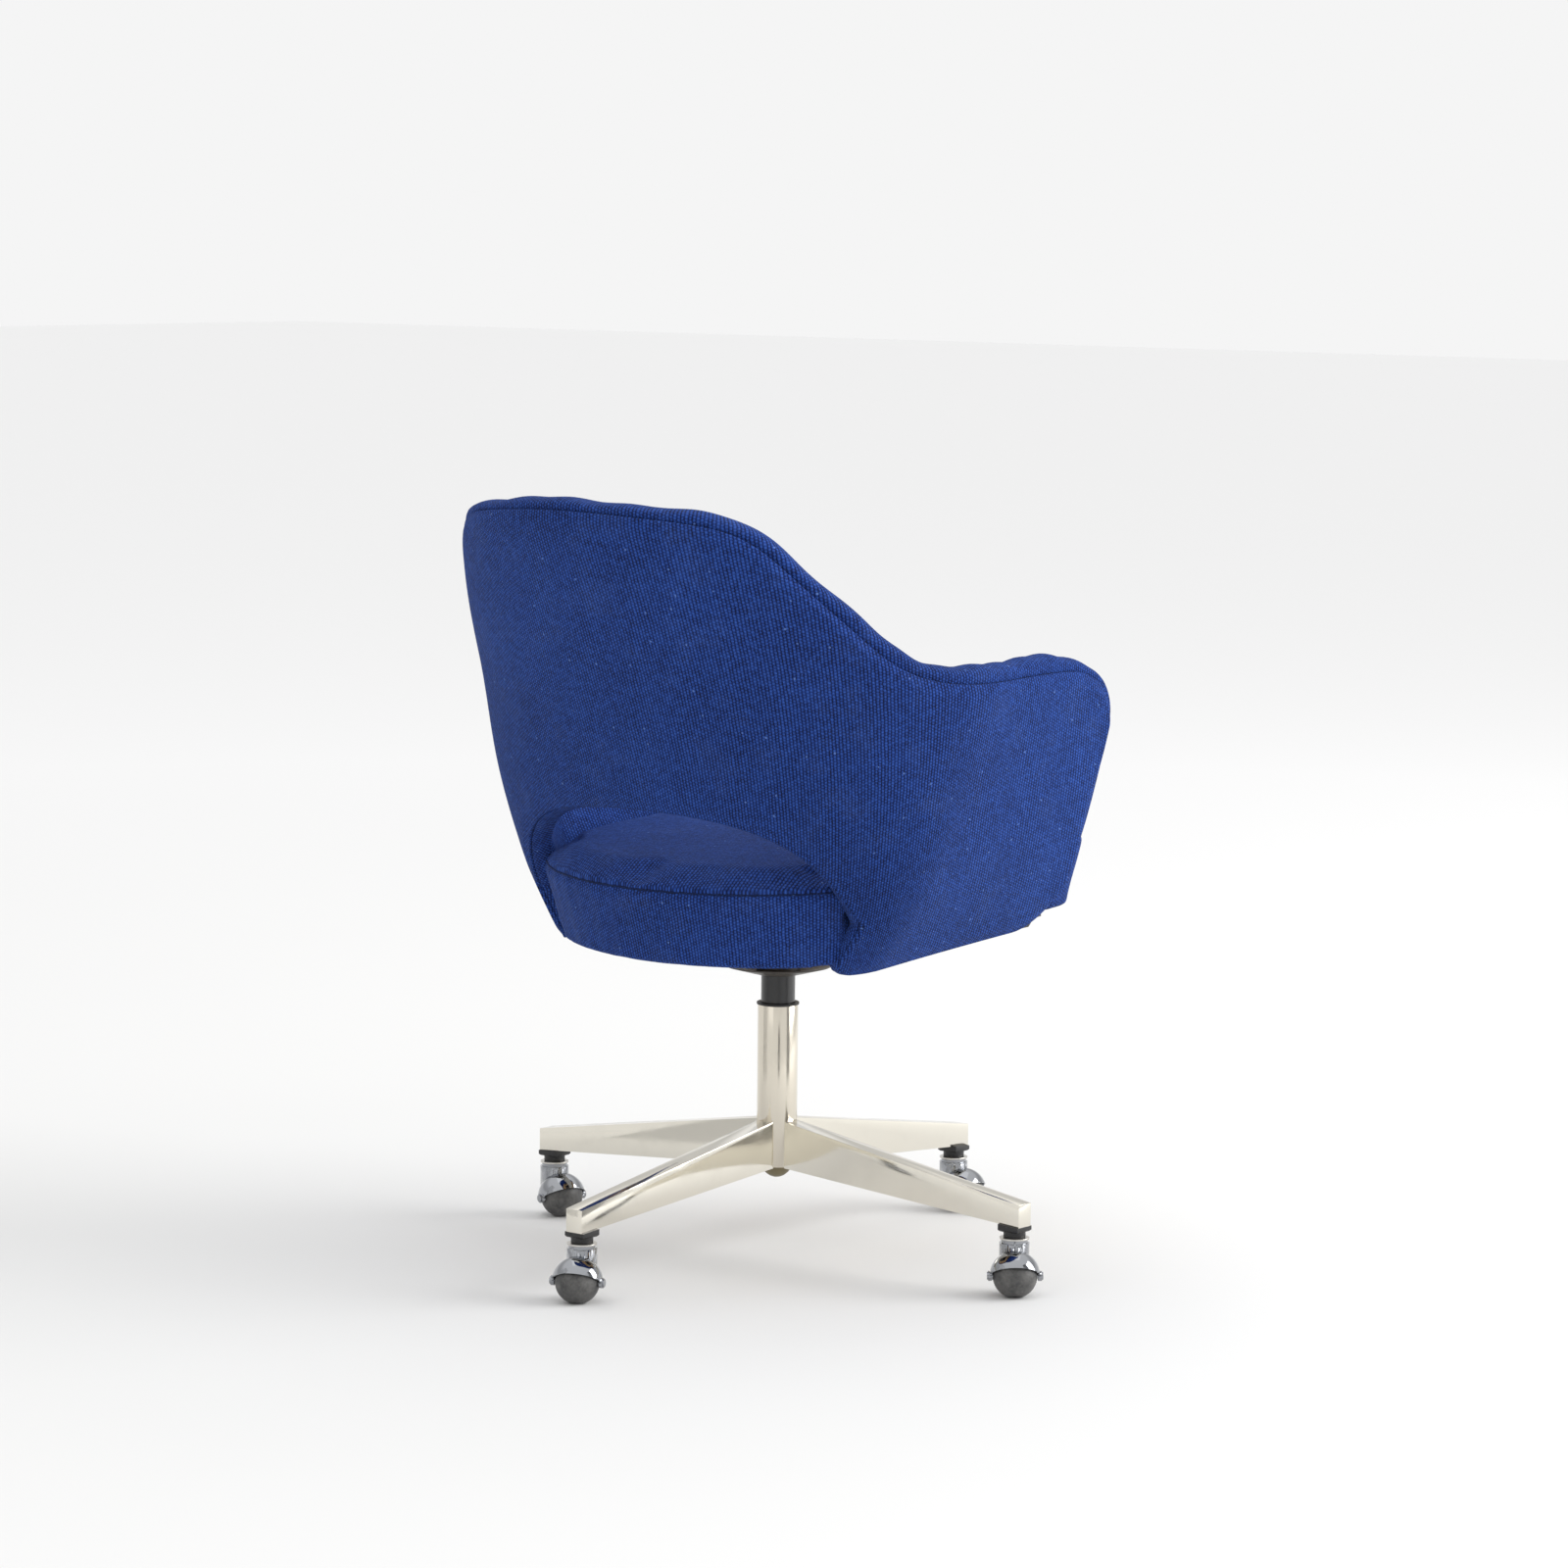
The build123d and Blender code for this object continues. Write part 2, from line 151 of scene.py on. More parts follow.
def surfacePoint(way, z, inset):
    # way: 0 behind, +-90 where the sides begin, +-150 at the arm fronts
    z = np.asarray(z, float)
    half, rear, middle = np.moveaxis(levelAt(z), -1, 0)
    front = shell["armFront"] - shell["flareLead"] - inset
    turn = np.radians(np.clip(np.abs(way), 0, 90))
    along = np.clip((np.abs(way) - 90) / 60, 0, 1)
    y = middle + (rear - inset - middle) * np.cos(turn)
    x = (half - inset) * np.sin(turn)
    sideY = middle + (shell["armFront"] - middle) * along
    flare = shell["armFlare"] * ((middle - sideY) / (middle - front)) ** 2
    onSide = along > 0
    y = np.where(onSide, sideY, y)
    x = np.where(onSide, half - inset + flare, x) * np.sign(way)
    return np.stack([x, y, z + 0 * x], -1)


def topHeight(way):
    low = np.full_like(way, 0.56)
    high = np.full_like(way, 0.87)
    for _ in range(40):
        z = (low + high) / 2
        y = surfacePoint(way, z, 0.0)[..., 1]
        over = z > np.interp(y, topSamples[:, 0], topSamples[:, 1])
        high = np.where(over, z, high)
        low = np.where(over, low, z)
    return (low + high) / 2


def spread(points, count):
    # evenly spaced values 0..1 along a row of points, as fractional indices
    length = np.r_[0, np.cumsum(np.linalg.norm(np.diff(points, axis=0), axis=1))]
    return np.interp(np.linspace(0, length[-1], count), length, np.arange(len(points)))


def rowAt(table, index):
    base = np.arange(len(table))
    return np.stack([np.interp(index, base, table[:, k]) for k in range(table.shape[1])], -1)


def footHeight(y):
    corner = shell["cornerRadius"]
    near = np.clip((shell["armFront"] + corner - y) / corner, 0, 1)
    rounding = corner * (1 - np.sqrt(1 - near**2))
    turn = shell["lipCorner"]
    near = np.clip((y - shell["lipDepth"] + turn) / turn, 0, 1)
    rounding = rounding + turn * (1 - np.sqrt(1 - near**2))
    return shell["hemHeight"] - y * math.tan(shell["hemTilt"]) + rounding


def bottomLine():
    # (way, z) of the lower edge on one side:
    # along the foot, up the lip, over the arch to the middle
    ways = np.linspace(150, 20, 700)
    z = np.full_like(ways, shell["seatBase"])
    for _ in range(20):
        z = footHeight(surfacePoint(ways, z, 0.0)[:, 1])
    y = surfacePoint(ways, z, 0.0)[:, 1]
    foot = np.stack([ways, z], -1)[y <= shell["lipDepth"]]
    start = foot[-1]
    rise = shell["archTop"] - shell["archFoot"]
    pull = shell["archFullness"]
    half = shell["archHalfWidth"]
    t = np.linspace(0, 1, 400)
    archX = half * ((1 - t) ** 3 + 3 * t * (1 - t) ** 2) + 3 * pull * half * t**2 * (1 - t)
    mid = shell["archFoot"] + pull * rise
    archZ = shell["archFoot"] * (1 - t) ** 3 + 3 * mid * t * (1 - t) ** 2
    archZ = archZ + shell["archTop"] * (3 * t**2 * (1 - t) + t**3)
    size = levelAt(archZ)
    archWay = np.degrees(np.arcsin(np.clip(archX / size[:, 0], 0, 1)))
    lipWay = np.degrees(np.arccos((shell["lipDepth"] - size[:, 2]) / (size[:, 1] - size[:, 2])))
    arch = np.stack([archWay, archZ], -1)[archWay < lipWay]
    lipZ = np.linspace(start[1], arch[0, 1], 60)[1:-1]
    size = levelAt(lipZ)
    lipWay = np.degrees(np.arccos((shell["lipDepth"] - size[:, 2]) / (size[:, 1] - size[:, 2])))
    lip = np.stack([lipWay, lipZ], -1)
    line = np.concatenate([foot, lip, arch])
    places = surfacePoint(line[:, 0], line[:, 1], 0.0)
    line = rowAt(line, spread(places, 1400))
    soft = line.copy()
    kernel = np.hanning(31)
    kernel /= kernel.sum()
    for k in range(2):
        padded = np.r_[np.full(15, line[0, k]), line[:, k], line[::-1, k][:15] * (1 if k else -1)]
        soft[:, k] = np.convolve(padded, kernel, "valid")
    soft[0], soft[-1] = line[0], line[-1]
    return soft


def sheetGrid():
    # (way, z) for every column and row of the whole sheet, left arm front to right arm front
    count = shell["columnsPerSide"]
    bottom = bottomLine()
    places = surfacePoint(bottom[:, 0], bottom[:, 1], 0.0)
    length = np.r_[0, np.cumsum(np.linalg.norm(np.diff(places, axis=0), axis=1))]
    lipEnd = length[np.argmin(np.where(bottom[:, 1] < 0.42, bottom[:, 0], 999))]
    shoulder = length[np.argmin(np.abs(bottom[:, 1] - 0.449) + (bottom[:, 0] > 75))]
    ways = np.linspace(150, 0, 1500)
    tops = topHeight(ways)
    topPlaces = surfacePoint(ways, tops, 0.0)
    topLength = np.r_[0, np.cumsum(np.linalg.norm(np.diff(topPlaces, axis=0), axis=1))]
    # where the weave's columns leave the top edge for the lip's lower end and for its shoulder
    atLip, atShoulder = np.interp([-shell["lipWay"], -shell["shoulderWay"]], -ways, topLength)
    pairs = [(0, 0), (lipEnd, atLip), (shoulder, atShoulder), (length[-1], topLength[-1])]
    share = np.linspace(0, 1, count + 1)
    # columns are spaced by the mean of the two edges, closer at the rounded arm corner
    fine = np.linspace(0, 1, 3000)
    topFine = fine * topLength[-1]
    bottomFine = np.interp(topFine, [b for a, b in pairs], [a for a, b in pairs])
    kernel = np.hanning(121)
    kernel /= kernel.sum()
    before = 2 * bottomFine[0] - bottomFine[60:0:-1]
    after = 2 * bottomFine[-1] - bottomFine[-2:-62:-1]
    padded = np.r_[before, bottomFine, after]
    bottomFine = np.convolve(padded, kernel, "valid")
    pace = np.gradient(topFine) + np.gradient(bottomFine)
    pace = pace * (1 + 1.6 * np.exp(-topFine / 0.03))
    walked = np.r_[0, np.cumsum(pace[1:])]
    index = np.interp(share * walked[-1], walked, np.arange(3000))
    topAt = np.interp(index, np.arange(3000), topFine)
    bottomAt = np.interp(index, np.arange(3000), bottomFine)
    topWay = np.interp(topAt, topLength, ways)
    topZ = np.interp(topAt, topLength, tops)
    bottomWay = np.interp(bottomAt, length, bottom[:, 0])
    bottomZ = np.interp(bottomAt, length, bottom[:, 1])
    lipNear = np.exp(-(((bottomAt - (lipEnd + shoulder) / 2) / 0.11) ** 2))
    power = 1 + (shell["lipSweep"] - 1) * lipNear
    up = np.linspace(0, 1, shell["rows"] + 1)
    lean = (1 - up)[None, :] ** power[:, None]
    way = topWay[:, None] + (bottomWay - topWay)[:, None] * lean
    z = bottomZ[:, None] + (topZ - bottomZ)[:, None] * up[None, :]
    way = np.concatenate([-way, way[::-1][1:]])
    z = np.concatenate([z, z[::-1][1:]])
    way[count] = 0
    return way, z


sheetWay, sheetZ = sheetGrid()
print("sheet:", sheetWay.shape)


def weaveTable():
    # arc length from the middle of the back, for any way and height
    ways = np.linspace(0, 150, 301)
    heights = np.linspace(*shell["weaveSpan"], 58)
    lengths = []
    for height in heights:
        row = surfacePoint(ways, np.full_like(ways, height), 0.0)
        lengths.append(np.r_[0, np.cumsum(np.linalg.norm(np.diff(row, axis=0), axis=1))])
    return ways, heights, np.array(lengths)


weaveWays, weaveHeights, weaveLengths = weaveTable()
rise = np.linspace(*shell["weaveSpan"], 200)
riseWay = np.stack([surfacePoint(np.array([45.0]), np.array([h]), 0.0)[0] for h in rise])
riseLength = np.r_[0, np.cumsum(np.linalg.norm(np.diff(riseWay, axis=0), axis=1))]


def weaveCoordinates(way, z):
    # ribs lean half way between the shell's own generators and an even spacing
    way, z = np.broadcast_arrays(way, z)
    column = np.interp(np.abs(way), weaveWays, np.arange(len(weaveWays)))
    row = np.interp(z, weaveHeights, np.arange(len(weaveHeights)))
    c0 = np.floor(column).astype(int).clip(0, len(weaveWays) - 2)
    r0 = np.floor(row).astype(int).clip(0, len(weaveHeights) - 2)
    fc, fr = column - c0, row - r0
    low = weaveLengths[r0, c0] * (1 - fc) + weaveLengths[r0, c0 + 1] * fc
    high = weaveLengths[r0 + 1, c0] * (1 - fc) + weaveLengths[r0 + 1, c0 + 1] * fc
    here = low * (1 - fr) + high * fr
    steadyRow = int(np.argmin(abs(weaveHeights - 0.64)))
    steady = np.interp(np.abs(way), weaveWays, weaveLengths[steadyRow])
    return np.sign(way) * (0.45 * here + 0.55 * steady), np.interp(z, rise, riseLength)


# closed padded sheets for the cover and the pad
def borderLoop(columns, rows):
    # grid indices round the sheet: foot left to right, up, back along the top, down
    loop = [(c, 0) for c in range(columns)]
    loop += [(columns - 1, r) for r in range(1, rows)]
    loop += [(c, rows - 1) for c in range(columns - 2, -1, -1)]
    loop += [(0, r) for r in range(rows - 2, 0, -1)]
    return np.array(loop)


def smoothLoop(values, width):
    kernel = np.hanning(2 * width + 1)
    kernel /= kernel.sum()
    wrapped = np.concatenate([values[-width:], values, values[:width]])
    columns = range(values.shape[1])
    return np.stack([np.convolve(wrapped[:, k], kernel, "valid") for k in columns], -1)


def borderDistance(columns, rows, places):
    # distance of every grid point from the top and front edges, and from the foot edge
    acrossStep = np.linalg.norm(np.diff(places, axis=0), axis=2)
    upStep = np.linalg.norm(np.diff(places, axis=1), axis=2)
    fromLeft = np.concatenate([np.zeros((1, rows)), np.cumsum(acrossStep, axis=0)])
    fromFoot = np.concatenate([np.zeros((columns, 1)), np.cumsum(upStep, axis=1)], axis=1)
    side = np.minimum(fromLeft, fromLeft[-1:] - fromLeft)
    top = fromFoot[:, -1:] - fromFoot
    return np.minimum(side, top), fromFoot


def closedSheet(name, outerInset, innerInset, edgeProfile, plump):
    # two faces of the sheet and a rounded border between them
    columns, rows = sheetWay.shape
    outer = surfacePoint(sheetWay, sheetZ, outerInset)
    inner = surfacePoint(sheetWay, sheetZ, innerInset)
    loop = borderLoop(columns, rows)
    a = outer[loop[:, 0], loop[:, 1]]
    b = inner[loop[:, 0], loop[:, 1]]
    travel = np.roll(a, -1, axis=0) - np.roll(a, 1, axis=0)
    travel /= np.linalg.norm(travel, axis=1, keepdims=True)
    across = b - a
    across /= np.linalg.norm(across, axis=1, keepdims=True)
    outward = np.cross(travel, across)
    inward = a - outer[np.clip(loop[:, 0], 2, columns - 3), np.clip(loop[:, 1], 2, rows - 3)]
    flip = np.sign((outward * inward).sum(1))
    outward *= np.where(flip == 0, 1, flip)[:, None]
    outward = smoothLoop(outward, 4)
    outward /= np.linalg.norm(outward, axis=1, keepdims=True)
    rise, count = edgeProfile(loop)
    rings = []
    for k in range(1, count):
        phi = math.pi * k / count
        blend = 0.5 - 0.5 * math.cos(phi) - plump * math.sin(2 * phi)
        rings.append(a + (b - a) * blend + outward * (rise * math.sin(phi) ** 0.9)[:, None])
    points = [outer.reshape(-1, 3), inner.reshape(-1, 3)] + rings
    number = np.arange(columns * rows).reshape(columns, rows)
    offset = columns * rows
    faces = []
    q = np.stack([number[:-1, :-1], number[1:, :-1], number[1:, 1:], number[:-1, 1:]], -1)
    q = q.reshape(-1, 4)
    faces.append(q)
    faces.append(q[:, ::-1] + offset)
    base = 2 * offset
    size = len(loop)
    chain = [number[loop[:, 0], loop[:, 1]]]
    for k in range(count - 1):
        chain.append(base + k * size + np.arange(size))
    chain.append(number[loop[:, 0], loop[:, 1]] + offset)
    for first, second in zip(chain[:-1], chain[1:]):
        nxt = np.roll(first, -1)
        nxt2 = np.roll(second, -1)
        faces.append(np.stack([first, second, nxt2, nxt], -1))
    coordinates = np.concatenate(points)
    polygons = np.concatenate(faces)
    mesh = bpy.data.meshes.new(name)
    mesh.from_pydata(coordinates.tolist(), [], polygons.tolist())
    mesh.update()
    piece = bpy.data.objects.new(name, mesh)
    bpy.context.collection.objects.link(piece)
    u, v = weaveCoordinates(sheetWay, sheetZ)
    ringU, ringV = [], []
    loopU, loopV = u[loop[:, 0], loop[:, 1]], v[loop[:, 0], loop[:, 1]]
    rimWay, rimZ = sheetWay[loop[:, 0], loop[:, 1]], sheetZ[loop[:, 0], loop[:, 1]]
    rimInset = np.broadcast_to(outerInset, sheetWay.shape)[loop[:, 0], loop[:, 1]]
    sideways = surfacePoint(rimWay + 0.5, rimZ, rimInset)
    sideways = sideways - surfacePoint(rimWay - 0.5, rimZ, rimInset)
    sideways /= np.linalg.norm(sideways, axis=1, keepdims=True)
    upwards = surfacePoint(rimWay, rimZ + 0.001, rimInset)
    upwards = upwards - surfacePoint(rimWay, rimZ - 0.001, rimInset)
    upwards /= np.linalg.norm(upwards, axis=1, keepdims=True)
    shareU, shareV = (outward * sideways).sum(1), (outward * upwards).sum(1)
    arc = 0.0
    previous = a
    for ring in rings:
        arc = arc + np.linalg.norm(ring - previous, axis=1)
        previous = ring
        ringU.append(loopU + shareU * arc)
        ringV.append(loopV + shareV * arc)
    allU = np.concatenate([u.ravel(), u.ravel() * 0.9 + 0.5] + ringU)
    allV = np.concatenate([v.ravel(), v.ravel() + 1.0] + ringV)
    layer = mesh.uv_layers.new(name="weave")
    corner = np.empty(len(mesh.loops), dtype=np.int64)
    mesh.loops.foreach_get("vertex_index", corner)
    uv = np.stack([allU[corner], allV[corner]], -1)
    layer.data.foreach_set("uv", uv.ravel().astype(np.float32))
    for polygon in mesh.polygons:
        polygon.use_smooth = True
    orient(piece)
    return piece, a, outward


def orient(piece):
    form = bmesh.new()
    form.from_mesh(piece.data)
    if form.calc_volume(signed=True) < 0:
        bmesh.ops.reverse_faces(form, faces=form.faces)
    form.to_mesh(piece.data)
    form.free()


columnCount, rowCount = sheetWay.shape
flatPlaces = surfacePoint(sheetWay, sheetZ, 0.0)
edgeAway, footAway = borderDistance(columnCount, rowCount, flatPlaces)


def coverEdges(loop):
    onFoot = smoothFlag(loop)
    return cover["edgeRise"] + (cover["hemRise"] - cover["edgeRise"]) * onFoot, cover["edgeRows"]


def padEdges(loop):
    onFoot = smoothFlag(loop)
    way = sheetWay[loop[:, 0], loop[:, 1]]
    # the crown swells and slackens a little along its length
    slack = 0.0011 * np.sin(way * 0.21 + 0.6) + 0.0008 * np.sin(way * 0.53 + 2.1)
    fuller = pad["slopeCrown"] * np.clip((np.abs(way) - 22) / 30, 0, 1)
    fuller = fuller * np.clip((142 - np.abs(way)) / 20, 0, 1)
    crown = pad["crown"] + fuller + slack
    return crown * (1 - onFoot) + pad["hemRise"] * onFoot, pad["edgeRows"]


def smoothFlag(loop):
    # 1 along the foot edge, 0 elsewhere, eased at the corners
    flag = (loop[:, 1] == 0).astype(float)[:, None]
    return smoothLoop(flag, 5)[:, 0]


def rolled(amount, away, width):
    return amount * np.exp(-((away / width) ** 2))


slackU = np.sin(sheetWay * 0.061 + 1.3) * np.sin(sheetZ * 31 + 0.4)
fullness = -0.0012 * slackU * np.clip(edgeAway / 0.05, 0, 1) * np.clip(footAway / 0.05, 0, 1)
coverOuter = cover["outer"] + fullness + rolled(shell["rollIn"], edgeAway, shell["rollWidth"])
coverOuter = coverOuter + rolled(0.003, footAway, 0.006)
coverInner = coverOuter * 0 + cover["inner"]
backCover = closedSheet("backCover", coverOuter, coverInner, coverEdges, 0)[0]
hem = np.exp(-((footAway / 0.05) ** 2))
padInner = pad["inner"] - (pad["inner"] - pad["hemInner"]) * hem
padInner = padInner - 0.0025 * np.clip(edgeAway / 0.09, 0, 1) * (1 - hem)
padOuter = sheetZ * 0 + pad["outer"]
innerPad, padSeam, padOutward = closedSheet("innerPad", padOuter, padInner, padEdges, pad["plump"])
print("shell upholstery made")


# materials, and a small way to write shader sums
class Wire:
    # arithmetic on a shader socket adds its Math nodes

    def __init__(self, recipe, socket):
        self.recipe = recipe
        self.socket = socket

    def calc(self, operation, *others):
        return self.recipe.node("ShaderNodeMath", {"operation": operation}, (self, *others))

    def __add__(self, other):
        return self.calc("ADD", other)

    def __mul__(self, other):
        return self.calc("MULTIPLY", other)

    def __sub__(self, other):
        return self.calc("SUBTRACT", other)

    def __rsub__(self, other):
        return self.recipe.node("ShaderNodeMath", {"operation": "SUBTRACT"}, (other, self))

    def __truediv__(self, other):
        return self.calc("DIVIDE", other)

    def __pow__(self, other):
        return self.calc("POWER", other)

    __radd__ = __add__
    __rmul__ = __mul__


class Recipe:
    def __init__(self, name, **constants):
        self.material = bpy.data.materials.new(name)
        self.material.use_nodes = True
        self.tree = self.material.node_tree
        self.shader = self.tree.nodes["Principled BSDF"]
        for key, value in constants.items():
            self.shader.inputs[key.replace("_", " ")].default_value = value

    def node(self, kind, settings=None, values=(), named=None, out=0):
        made = self.tree.nodes.new(kind)
        for key, value in (settings or {}).items():
            if key == "stops":
                ramp = made.color_ramp
                while len(ramp.elements) < len(value):
                    ramp.elements.new(0.5)
                for element, (position, colour) in zip(ramp.elements, value):
                    element.position = position
                    element.color = (*colour, 1) if len(colour) == 3 else colour
            else:
                setattr(made, key, value)
        for index, value in enumerate(values):
            self.feed(made.inputs[index], value)
        for key, value in (named or {}).items():
            self.feed(made.inputs[key], value)
        return Wire(self, made.outputs[out])

    def feed(self, socket, value):
        if isinstance(value, Wire):
            self.tree.links.new(value.socket, socket)
        elif value is not None:
            socket.default_value = value

    def place(self):
        return self.node("ShaderNodeTexCoord", out=3)

    def split(self, vector):
        made = self.node("ShaderNodeSeparateXYZ", {}, (vector,))
        outputs = made.socket.node.outputs
        return [Wire(self, outputs[k]) for k in range(3)]

    def join(self, x, y, z=0.0):
        return self.node("ShaderNodeCombineXYZ", {}, (x, y, z))

    def noise(self, where, scale, detail=2.0, roughness=0.5, out=0):
        values = {"Vector": where, "Scale": scale, "Detail": detail, "Roughness": roughness}
        return self.node("ShaderNodeTexNoise", {}, (), values, out)

    def ramp(self, factor, *stops):
        return self.node("ShaderNodeValToRGB", {"stops": stops}, (factor,))

    def mix(self, low, high, factor, kind="MIX"):
        made = self.node("ShaderNodeMix", {"data_type": "RGBA", "blend_type": kind}, out=2)
        inputs = made.socket.node.inputs
        self.feed(inputs[0], factor)
        self.feed(inputs[6], low if isinstance(low, Wire) else (*low, 1))
        self.feed(inputs[7], high if isinstance(high, Wire) else (*high, 1))
        return made

    def bump(self, height, distance, strength=1.0):
        values = {"Height": height, "Distance": distance, "Strength": strength}
        return self.node("ShaderNodeBump", {}, (), values)

    def finish(self, **links):
        for key, value in links.items():
            self.feed(self.shader.inputs[key.replace("_", " ")], value)
        return self.material


cloth = {
    "ribPitch": 0.0038,
    "rowPitch": 0.0034,
    # dark rib gaps: painted shade in the recesses between the ribs
    "ribGapShade": (0.003, 0.007, 0.042),
    "yarn": (0.017, 0.057, 0.285),
    # bright rib crests: partly painted highlight, partly lighter yarn
    "light": (0.045, 0.130, 0.490),
    "nub": (0.15, 0.27, 0.66),
    "relief": 0.0011,
}


def wovenCloth(name, paintedShade=1.0):
    r = Recipe(
        name, Roughness=0.92, Sheen_Weight=0.07, Sheen_Roughness=0.45, Specular_IOR_Level=0.18
    )
    r.shader.inputs["Sheen Tint"].default_value = (0.34, 0.52, 1.0, 1)
    flat = r.node("ShaderNodeUVMap", {"uv_map": "weave"})
    drift = r.noise(flat, 42.0, 2.0, 0.6)
    fine = r.noise(flat, 310.0, 2.0, 0.6)
    u, v, _ = r.split(flat)
    ribs = u / cloth["ribPitch"] + (drift - 0.5) * 0.45 + (fine - 0.5) * 0.35
    rows = v / cloth["rowPitch"] + (drift - 0.5) * 0.5 + (fine - 0.5) * 0.5
    ribNumber = ribs.calc("FLOOR")
    parity = ribNumber.calc("MODULO", 2.0)
    shifted = rows + parity * 0.5
    rowNumber = shifted.calc("FLOOR")
    across = (ribs * (2 * math.pi)).calc("COSINE") * -0.5 + 0.5
    along = (shifted * (2 * math.pi)).calc("COSINE") * -0.5 + 0.5
    stitch = (across ** 0.6) * (along * 0.62 + 0.38)
    cell = {"Vector": r.join(ribNumber, rowNumber)}
    each = r.node("ShaderNodeTexWhiteNoise", {"noise_dimensions": "2D"}, (), cell)
    slub = r.noise(r.join(u * 900.0, v * 150.0), 1.0, 3.0, 0.65)
    fibre = r.noise(r.join(u * 1500.0, v * 1100.0), 1.0, 2.0, 0.6)
    broad = r.noise(r.place(), 5.5, 3.0, 0.55)
    # tone mixes the rib profile, whose dark gaps and bright crests are painted shade and painted
    # highlight, with random yarn, slub and fibre variation
    tone = stitch * 0.72 + (each - 0.5) * 0.20 + (slub - 0.5) * 0.55
    tone = tone + (fibre - 0.5) * 0.35 + (broad - 0.5) * 0.28
    colour = r.ramp(tone, (0.02, cloth["ribGapShade"]), (0.46, cloth["yarn"]), (1.0, cloth["light"]))
    scatter = {"Vector": flat, "Scale": 27.0}
    specks = r.node("ShaderNodeTexVoronoi", {"voronoi_dimensions": "2D"}, (), scatter)
    outputs = specks.socket.node.outputs
    chance, _, _ = r.split(Wire(r, outputs[1]))
    size = chance * 0.030 + 0.004
    near = (size - specks).calc("MULTIPLY", 60.0).calc("ADD", 0.5)
    nub = near.calc("MINIMUM", 1.0).calc("MAXIMUM", 0.0) * chance.calc("GREATER_THAN", 0.62)
    colour = r.mix(colour, cloth["nub"], nub * 0.6)
    dust = r.noise(r.place(), 22.0, 4.0, 0.6)
    colour = r.mix(colour, (0.10, 0.13, 0.22), (dust - 0.52).calc("MAXIMUM", 0.0) * 0.35)
    # the shade factor darkens the whole cloth: painted shade, used on the seam threads in place of
    # the shadow in the seam groove
    if paintedShade != 1.0:
        colour = r.mix(colour, (paintedShade, paintedShade, paintedShade), 1.0, "MULTIPLY")
    height = stitch + (slub - 0.5) * 0.5 + (fibre - 0.5) * 0.5 + nub * 0.4
    return r.finish(Base_Color=colour, Normal=r.bump(height, cloth["relief"], 0.9))


def polished(name, tint, base, worn, streak=(1, 1, 1), smudge=0.5, relief=0.0):
    # bright metal with hairlines, finger marks and duller patches
    r = Recipe(name, Metallic=1.0)
    where = r.place()
    stretched = r.node("ShaderNodeMapping", {}, (where,), {"Scale": streak})
    hair = r.noise(stretched, 190.0, 3.0, 0.6)
    marks = r.noise(where, 26.0, 5.0, 0.62)
    patch = (marks - 0.5).calc("MAXIMUM", 0.0) * 2.0
    rough = patch * worn * smudge + hair * worn * 0.35 + base
    colour = r.mix(tint, [c * 0.86 for c in tint], patch * 0.9 * smudge + (hair - 0.5) * 0.12)
    links = {"Base_Color": colour, "Roughness": rough}
    if relief:
        links["Normal"] = r.bump(hair + marks * 0.4, relief, 0.5)
    return r.finish(**links)


def enamel(name, tint, rough, grain, relief, scuff=(0.12, 0.12, 0.125), scuffed=0.35, coat=0.0):
    r = Recipe(name, Specular_IOR_Level=0.5, Coat_Weight=coat, Coat_Roughness=0.25)
    where = r.place()
    speckle = r.noise(where, grain, 3.0, 0.6)
    cloudy = r.noise(where, 34.0, 5.0, 0.65)
    wear = (cloudy - 0.58).calc("MAXIMUM", 0.0) * 3.0 * scuffed
    colour = r.mix(tint, scuff, wear + (speckle - 0.5) * 0.10)
    dull = wear * 0.3 + (speckle - 0.5) * 0.12 + rough
    return r.finish(Base_Color=colour, Roughness=dull, Normal=r.bump(speckle, relief, 0.6))


def plySheet(name):
    r = Recipe(name, Roughness=0.62)
    x, y, z = r.split(r.place())
    grain = r.noise(r.join(x * 14.0, y * 1.2, z * 14.0), 9.0, 6.0, 0.62)
    layers = ((z + y * math.tan(shell["seatTilt"])) * 1900.0).calc("SINE") * 0.5 + 0.5
    tone = grain * 0.75 + layers * 0.25
    dark, mid, pale = (0.19, 0.10, 0.045), (0.42, 0.26, 0.13), (0.56, 0.38, 0.20)
    colour = r.ramp(tone, (0.25, dark), (0.55, mid), (0.8, pale))
    return r.finish(Base_Color=colour, Normal=r.bump(grain, 0.0004, 0.5))


def wheelRubber(name):
    r = Recipe(name, Specular_IOR_Level=0.4)
    where = r.place()
    dust = r.noise(where, 60.0, 5.0, 0.65)
    scratches = r.noise(where, 320.0, 3.0, 0.6)
    tone = (dust - 0.35) * 1.4 + (scratches - 0.5) * 0.4
    black, worn, dusty = (0.045, 0.045, 0.046), (0.13, 0.127, 0.122), (0.27, 0.26, 0.25)
    colour = r.ramp(tone, (0.0, black), (0.5, worn), (1.0, dusty))
    relief = r.bump(scratches, 0.00015, 0.5)
    return r.finish(Base_Color=colour, Roughness=dust * 0.25 + 0.34, Normal=relief)


metal = {
    "column": (0.71, 0.66, 0.565),
    "arms": (0.79, 0.755, 0.67),
    "chrome": (0.33, 0.34, 0.36),
    "plain": (0.62, 0.60, 0.56),
    "brass": (0.22, 0.19, 0.12),
}
clothMaterial = wovenCloth("blueCloth")
